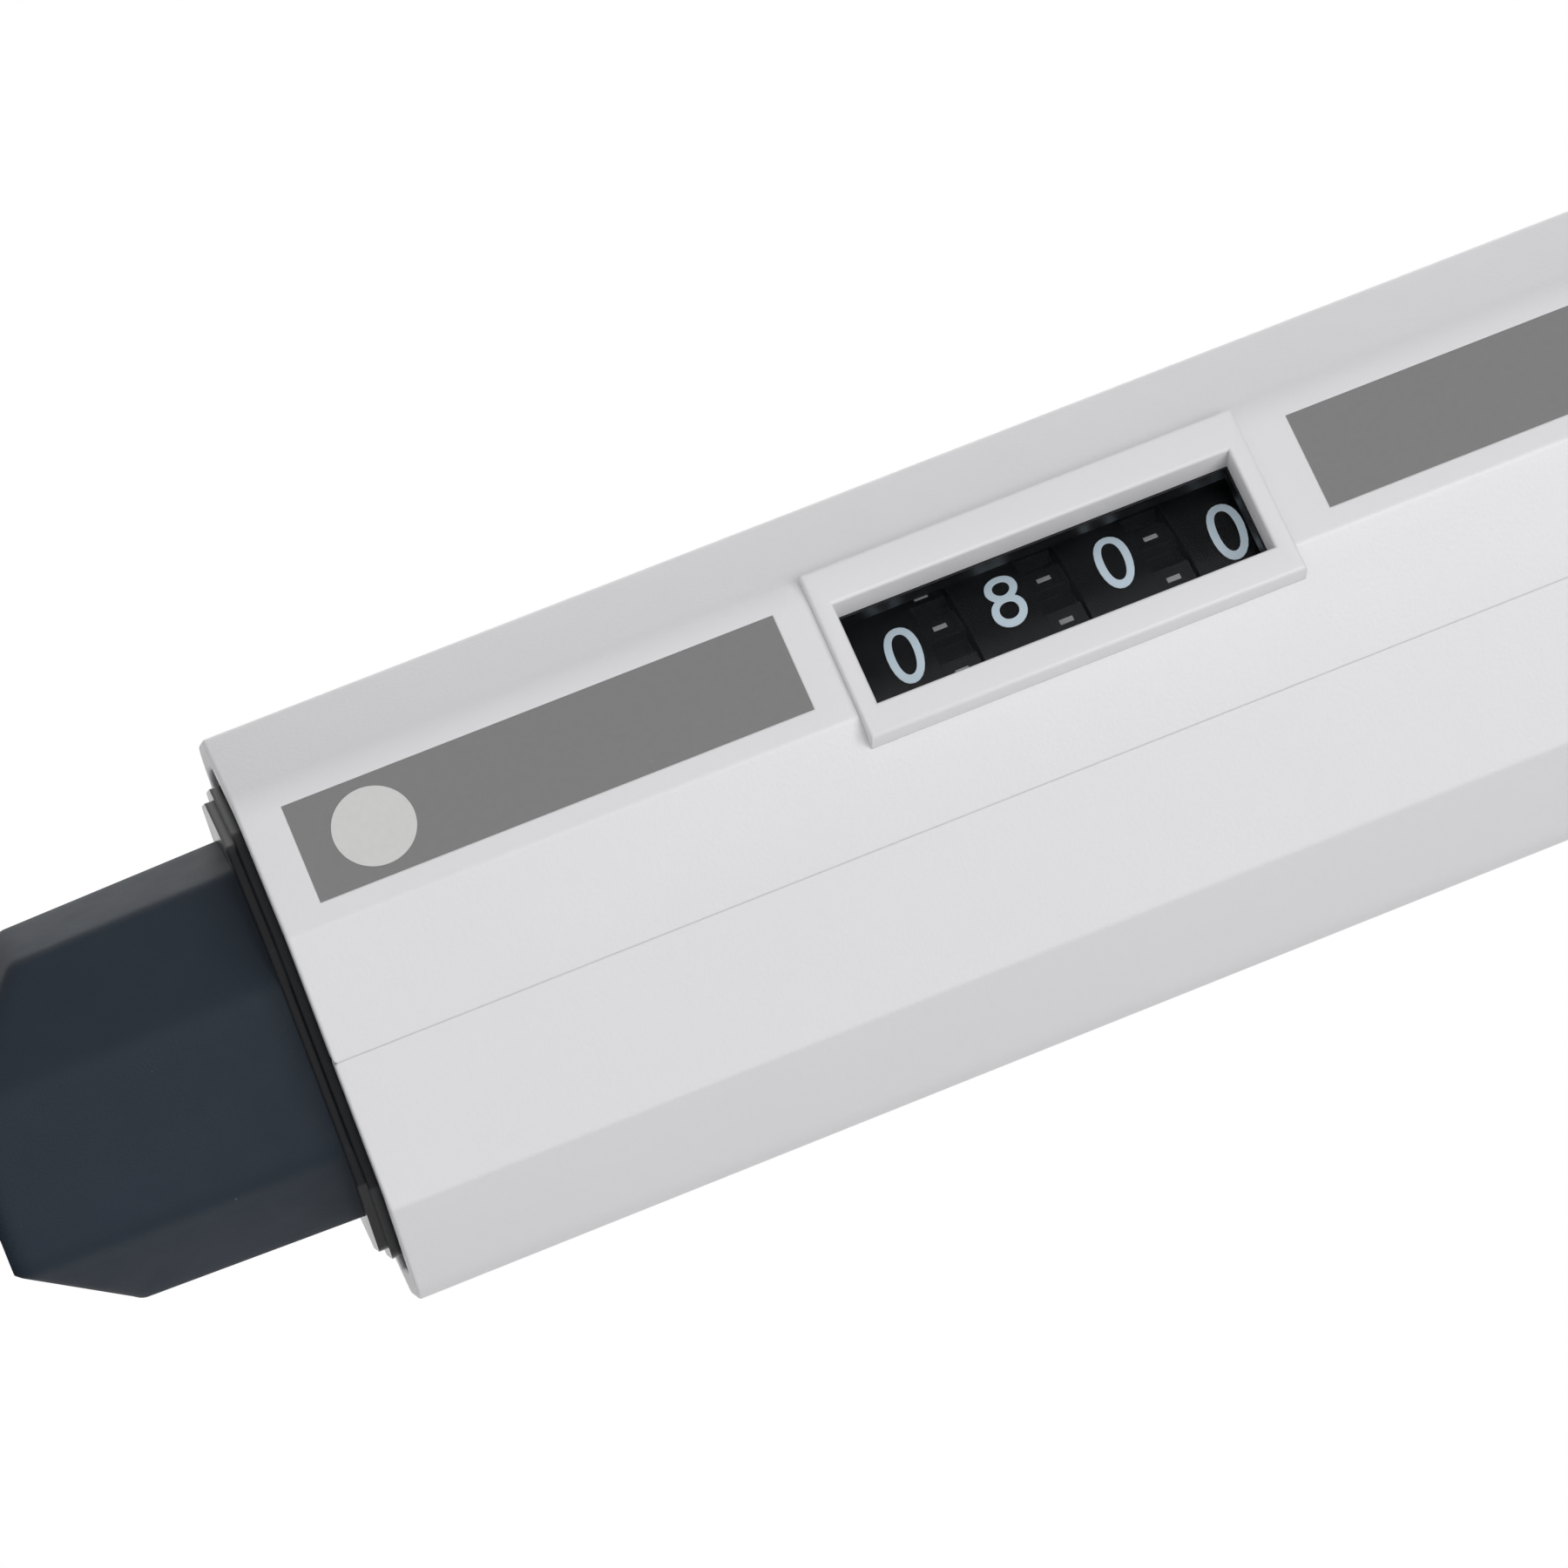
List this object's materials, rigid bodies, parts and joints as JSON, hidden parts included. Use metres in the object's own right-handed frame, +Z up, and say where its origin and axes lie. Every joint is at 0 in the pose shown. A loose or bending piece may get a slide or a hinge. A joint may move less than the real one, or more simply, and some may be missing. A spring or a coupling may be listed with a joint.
{
  "type": "multichannel pipette",
  "caption": "Multichannel hand pipette: faceted white handle with a digit counter, push button, finger rest and ejector, on a swivelling dark tip head.",
  "frame": {"origin": "centre of the row of tip cones, level with their ends", "axes": "+Z up the plunger, +X along the row of cones, +Y towards the finger rest; the display looks towards -X and -Y"},
  "size_m": [0.089, 0.053, 0.2675],
  "materials": {
    "casing_white": "fine grained satin",
    "lens_clear": "polished clear",
    "label_grey": "smooth print",
    "plug_black": "polished",
    "neck_navy": "soft touch matte",
    "counter_black": "moulded",
    "frame_grey": "moulded",
    "button_navy": "matte",
    "cap_grey": "satin",
    "steel": "ground",
    "spring_steel": "drawn wire",
    "brass": "turned",
    "cone_white": "smooth",
    "comb_grey": "satin",
    "seal_black": "smooth"
  },
  "bodies": {
    "handle": {"casing_left": "casing_white", "casing_right": "casing_white", "casing_screws": "steel", "display_lens": "lens_clear", "label_plate_lower": "label_grey", "label_plate_upper": "label_grey", "mouth_plug": "plug_black", "neck_housing": "neck_navy", "stem_ring": "brass", "top_bush": "frame_grey", "top_cap": "casing_white", "finger_rest": "casing_white", "counter_frame": "frame_grey", "pinion_shaft": "steel", "blow_out_spring": "spring_steel", "ejector_spring": "spring_steel"},
    "first_stop": {"stop_plate": "steel"},
    "plunger": {"plunger_sleeve": "frame_grey"},
    "knob": {"push_button": "button_navy", "button_cap": "cap_grey", "spindle_rod": "steel", "rod_foot": "steel"},
    "volume_stop": {"volume_nut": "brass"},
    "units": {"wheel_units": "counter_black", "drive_sleeve": "counter_black"},
    "tens": {"wheel_tens": "counter_black"},
    "hundreds": {"wheel_hundreds": "counter_black"},
    "thousands": {"wheel_thousands": "counter_black"},
    "pinion_1": {"carry_pinion_1": "frame_grey"},
    "pinion_2": {"carry_pinion_2": "frame_grey"},
    "pinion_3": {"carry_pinion_3": "frame_grey"},
    "ejector": {"ejector_button": "button_navy", "ejector_rod": "steel", "ejector_yoke": "frame_grey", "ejector_tube": "steel"},
    "head": {"manifold_front": "neck_navy", "manifold_rear": "neck_navy", "manifold_screws": "steel", "base_plate": "frame_grey", "cylinder_block": "cone_white", "guide_posts": "steel", "return_springs": "spring_steel", "cone_rings": "seal_black", "piston_seals": "seal_black", "swivel_collar": "plug_black", "tip_cone_1": "cone_white", "tip_cone_2": "cone_white", "tip_cone_3": "cone_white", "tip_cone_4": "cone_white", "tip_cone_5": "cone_white", "tip_cone_6": "cone_white", "tip_cone_7": "cone_white", "tip_cone_8": "cone_white"},
    "piston_bar": {"pistons": "steel", "piston_plate": "frame_grey", "coupling_cap": "brass"},
    "ejector_bar": {"ejector_crossbar": "frame_grey", "ejector_arms": "comb_grey", "ejector_comb": "comb_grey"}
  },
  "joints": [
    {"name": "blow_out_press", "type": "slide", "parent": "handle", "child": "first_stop", "axis": [0, 0, -1], "range_m": [0, 0.003], "stiffness_N_per_m": 2500, "springref_m": -0.003, "deforming": ["blow_out_spring"]},
    {"name": "plunger_press", "type": "slide", "parent": "first_stop", "child": "plunger", "axis": [0, 0, -1], "range_m": [0, 0.01258], "stiffness_N_per_m": 180, "springref_m": -0.02, "deforming": ["return_springs"]},
    {"name": "knob_turn", "type": "hinge", "parent": "plunger", "child": "knob", "pos_m": [0, 0, 0.25793], "axis": [0, 0, 1], "range_deg": [-5040, 1440]},
    {"name": "volume_stop_travel", "type": "slide", "parent": "plunger", "child": "volume_stop", "axis": [0, 0, 1], "range_m": [-0.01102, 0.00316]},
    {"name": "units_turn", "type": "hinge", "parent": "handle", "child": "units", "pos_m": [0, 0, 0.16871], "axis": [0, 0, 1], "range_deg": [-5041, 1441]},
    {"name": "tens_turn", "type": "hinge", "parent": "handle", "child": "tens", "pos_m": [0, 0, 0.16871], "axis": [0, 0, 1], "range_deg": [-2521, 721]},
    {"name": "hundreds_turn", "type": "hinge", "parent": "handle", "child": "hundreds", "pos_m": [0, 0, 0.16871], "axis": [0, 0, 1], "range_deg": [-253, 73]},
    {"name": "thousands_turn", "type": "hinge", "parent": "handle", "child": "thousands", "pos_m": [0, 0, 0.16871], "axis": [0, 0, 1], "range_deg": [-26.2, 8.2]},
    {"name": "pinion_1_turn", "type": "hinge", "parent": "handle", "child": "pinion_1", "pos_m": [-0.01225, 0.0005, 0.16871], "axis": [0, 0, 1], "range_deg": [-19, 64]},
    {"name": "pinion_2_turn", "type": "hinge", "parent": "handle", "child": "pinion_2", "pos_m": [-0.01225, 0.0005, 0.16871], "axis": [0, 0, 1], "range_deg": [-181, 631]},
    {"name": "pinion_3_turn", "type": "hinge", "parent": "handle", "child": "pinion_3", "pos_m": [-0.01225, 0.0005, 0.16871], "axis": [0, 0, 1], "range_deg": [-1801, 6301]},
    {"name": "ejector_press", "type": "slide", "parent": "handle", "child": "ejector", "axis": [0, 0, -1], "range_m": [0, 0.0105], "stiffness_N_per_m": 300, "springref_m": -0.012, "deforming": ["ejector_spring"]},
    {"name": "head_swivel", "type": "hinge", "parent": "handle", "child": "head", "pos_m": [0, 0, 0.09634], "axis": [0, 0, 1], "continuous": true},
    {"name": "piston_turn", "type": "hinge", "parent": "plunger", "child": "piston_bar", "pos_m": [0, 0, 0.07454], "axis": [0, 0, 1], "continuous": true},
    {"name": "ejector_turn", "type": "hinge", "parent": "ejector", "child": "ejector_bar", "pos_m": [0, 0, 0.09104], "axis": [0, 0, 1], "continuous": true}
  ],
  "couplings": [
    {"joint": "volume_stop_travel", "follows": "knob_turn", "m_per_rad": 0.00012509},
    {"joint": "units_turn", "follows": "knob_turn", "ratio": 1},
    {"joint": "tens_turn", "follows": "knob_turn", "ratio": 0.5},
    {"joint": "hundreds_turn", "follows": "knob_turn", "ratio": 0.05},
    {"joint": "thousands_turn", "follows": "knob_turn", "ratio": 0.005},
    {"joint": "pinion_1_turn", "follows": "knob_turn", "ratio": -0.0125},
    {"joint": "pinion_2_turn", "follows": "knob_turn", "ratio": -0.125},
    {"joint": "pinion_3_turn", "follows": "knob_turn", "ratio": -1.25},
    {"joint": "piston_turn", "follows": "head_swivel", "ratio": 1},
    {"joint": "ejector_turn", "follows": "head_swivel", "ratio": 1}
  ]
}
